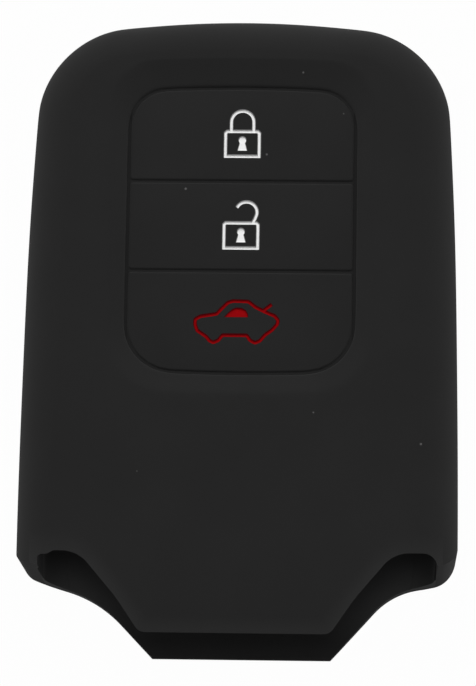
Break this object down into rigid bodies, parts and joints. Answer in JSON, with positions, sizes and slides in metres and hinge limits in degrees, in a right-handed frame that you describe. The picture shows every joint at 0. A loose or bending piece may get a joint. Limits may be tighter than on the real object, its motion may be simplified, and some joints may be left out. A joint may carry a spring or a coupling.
{
  "type": "key fob cover",
  "caption": "Open-mouthed moulded silicone sleeve for a smart key fob, with press pads marked lock, unlock and trunk in a dished front.",
  "frame": {"origin": "centre of the flat back, which the cover lies on", "axes": "+X across the cover to the right as the front is read, +Y along it to the closed top end with the mouth at -Y, +Z out of the front with the press pads"},
  "size_m": [0.0462, 0.0675, 0.017],
  "materials": {
    "black_silicone": "matte moulded silicone with a very fine grain",
    "white_silicone_ink": "satin white fill in a recessed line",
    "red_silicone_ink": "satin dark red fill in a recessed line"
  },
  "bodies": {
    "cover": {"sleeve": "black_silicone", "button_web": "black_silicone"},
    "lock_pad": {"lock_button": "black_silicone", "lock_outline_inlay": "white_silicone_ink", "lock_keyhole_inlay": "white_silicone_ink"},
    "unlock_pad": {"unlock_button": "black_silicone", "unlock_outline_inlay": "white_silicone_ink", "unlock_keyhole_inlay": "white_silicone_ink"},
    "trunk_pad": {"trunk_button": "black_silicone", "trunk_car_inlay": "red_silicone_ink", "trunk_window_inlay": "red_silicone_ink"}
  },
  "joints": [
    {"name": "lock_press", "type": "slide", "parent": "cover", "child": "lock_pad", "axis": [0, 0, -1], "range_m": [0, 0.0008], "stiffness_N_per_m": 1500},
    {"name": "unlock_press", "type": "slide", "parent": "cover", "child": "unlock_pad", "axis": [0, 0, -1], "range_m": [0, 0.0008], "stiffness_N_per_m": 1500},
    {"name": "trunk_press", "type": "slide", "parent": "cover", "child": "trunk_pad", "axis": [0, 0, -1], "range_m": [0, 0.0008], "stiffness_N_per_m": 1500}
  ]
}
